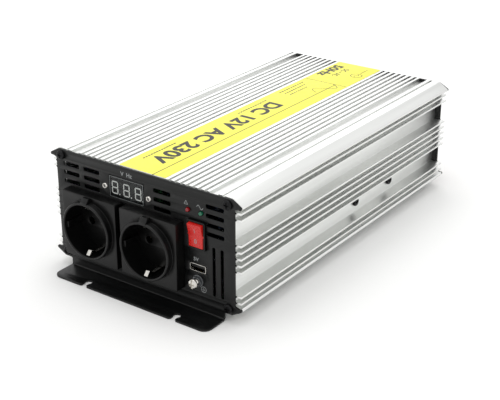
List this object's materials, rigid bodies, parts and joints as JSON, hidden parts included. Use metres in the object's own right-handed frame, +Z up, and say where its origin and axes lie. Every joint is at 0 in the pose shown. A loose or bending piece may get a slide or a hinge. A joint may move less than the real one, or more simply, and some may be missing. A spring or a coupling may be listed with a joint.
{
  "type": "power inverter",
  "caption": "Desktop power inverter: finned aluminium box with black end plates and folded feet, round mains sockets, rocker switch, display, earth screw, rear fan and battery terminals.",
  "frame": {"origin": "on the ground under the centre of the footprint, level with the undersides of both feet", "axes": "+Z up, -Y out of the front plate with the sockets, +Y out of the rear plate with the battery terminals, +X to the right seen from the front"},
  "size_m": [0.171, 0.337, 0.0935],
  "materials": {
    "housing_aluminium": "anodised, satin",
    "plate_paint": "satin black powder coat",
    "black_screws": "black zinc",
    "label_film": "printed polyester film",
    "socket_plastic": "moulded satin black",
    "spring_steel": "nickel plated",
    "brass": "turned",
    "bright_steel": "zinc plated",
    "window_acrylic": "smoked acrylic",
    "display_body": "moulded black",
    "circuit_board": "solder mask",
    "switch_plastic": "moulded black",
    "red_plastic": "moulded red",
    "red_lens": "clear red resin",
    "green_lens": "clear green resin",
    "fan_plastic": "glass-filled nylon",
    "ferrite": "sintered",
    "copper_winding": "enamelled wire",
    "capacitor_sleeve": "shrunk sleeve",
    "transistor_epoxy": "moulded epoxy"
  },
  "bodies": {
    "housing": {"bottom_shell": "housing_aluminium", "capacitor_1": "capacitor_sleeve", "capacitor_2": "capacitor_sleeve", "clamp_bar_left": "housing_aluminium", "clamp_bar_right": "housing_aluminium", "display_board": "circuit_board", "display_digits": "display_body", "display_window": "window_acrylic", "earth_clip_left": "spring_steel", "earth_clip_right": "spring_steel", "earth_nut": "spring_steel", "earth_screw": "spring_steel", "earth_washer": "bright_steel", "fan_frame": "fan_plastic", "fan_guard": "spring_steel", "fault_light": "red_lens", "front_plate": "plate_paint", "front_screw_1": "black_screws", "front_screw_2": "black_screws", "front_screw_3": "black_screws", "front_screw_4": "black_screws", "label": "label_film", "left_side_screw_1": "black_screws", "left_side_screw_2": "black_screws", "main_board": "circuit_board", "negative_terminal_base": "switch_plastic", "negative_terminal_stud": "brass", "output_choke": "copper_winding", "port_shell": "bright_steel", "port_tongue": "switch_plastic", "positive_terminal_base": "red_plastic", "positive_terminal_stud": "brass", "power_light": "green_lens", "rear_plate": "plate_paint", "rear_screw_1": "black_screws", "rear_screw_2": "black_screws", "rear_screw_3": "black_screws", "rear_screw_4": "black_screws", "right_side_screw_1": "black_screws", "right_side_screw_2": "black_screws", "rivet_left": "bright_steel", "rivet_right": "bright_steel", "socket_left": "socket_plastic", "socket_left_line_contact": "brass", "socket_left_neutral_contact": "brass", "socket_right": "socket_plastic", "socket_right_line_contact": "brass", "socket_right_neutral_contact": "brass", "switch_body": "switch_plastic", "top_shell": "housing_aluminium", "transformer_core_1": "ferrite", "transformer_core_2": "ferrite", "transformer_winding_1": "copper_winding", "transformer_winding_2": "copper_winding", "transistor_left": "transistor_epoxy", "transistor_right": "transistor_epoxy"},
    "switch_rocker": {"switch_rocker": "red_plastic"},
    "fan_rotor": {"fan_rotor": "fan_plastic"},
    "negative_knob": {"negative_terminal_knob": "switch_plastic"},
    "positive_knob": {"positive_terminal_knob": "red_plastic"}
  },
  "joints": [
    {"name": "rocker_tilt", "type": "hinge", "parent": "housing", "child": "switch_rocker", "pos_m": [0.049, -0.149, 0.0597], "axis": [-1, 0, 0], "range_deg": [0, 14]},
    {"name": "fan_spin", "type": "hinge", "parent": "housing", "child": "fan_rotor", "pos_m": [-0.036, 0.135, 0.0498], "axis": [0, 1, 0], "continuous": true},
    {"name": "negative_knob_turn", "type": "hinge", "parent": "housing", "child": "negative_knob", "pos_m": [0.018, 0.161, 0.0498], "axis": [0, 1, 0], "continuous": true},
    {"name": "positive_knob_turn", "type": "hinge", "parent": "housing", "child": "positive_knob", "pos_m": [0.052, 0.161, 0.0498], "axis": [0, 1, 0], "continuous": true}
  ]
}
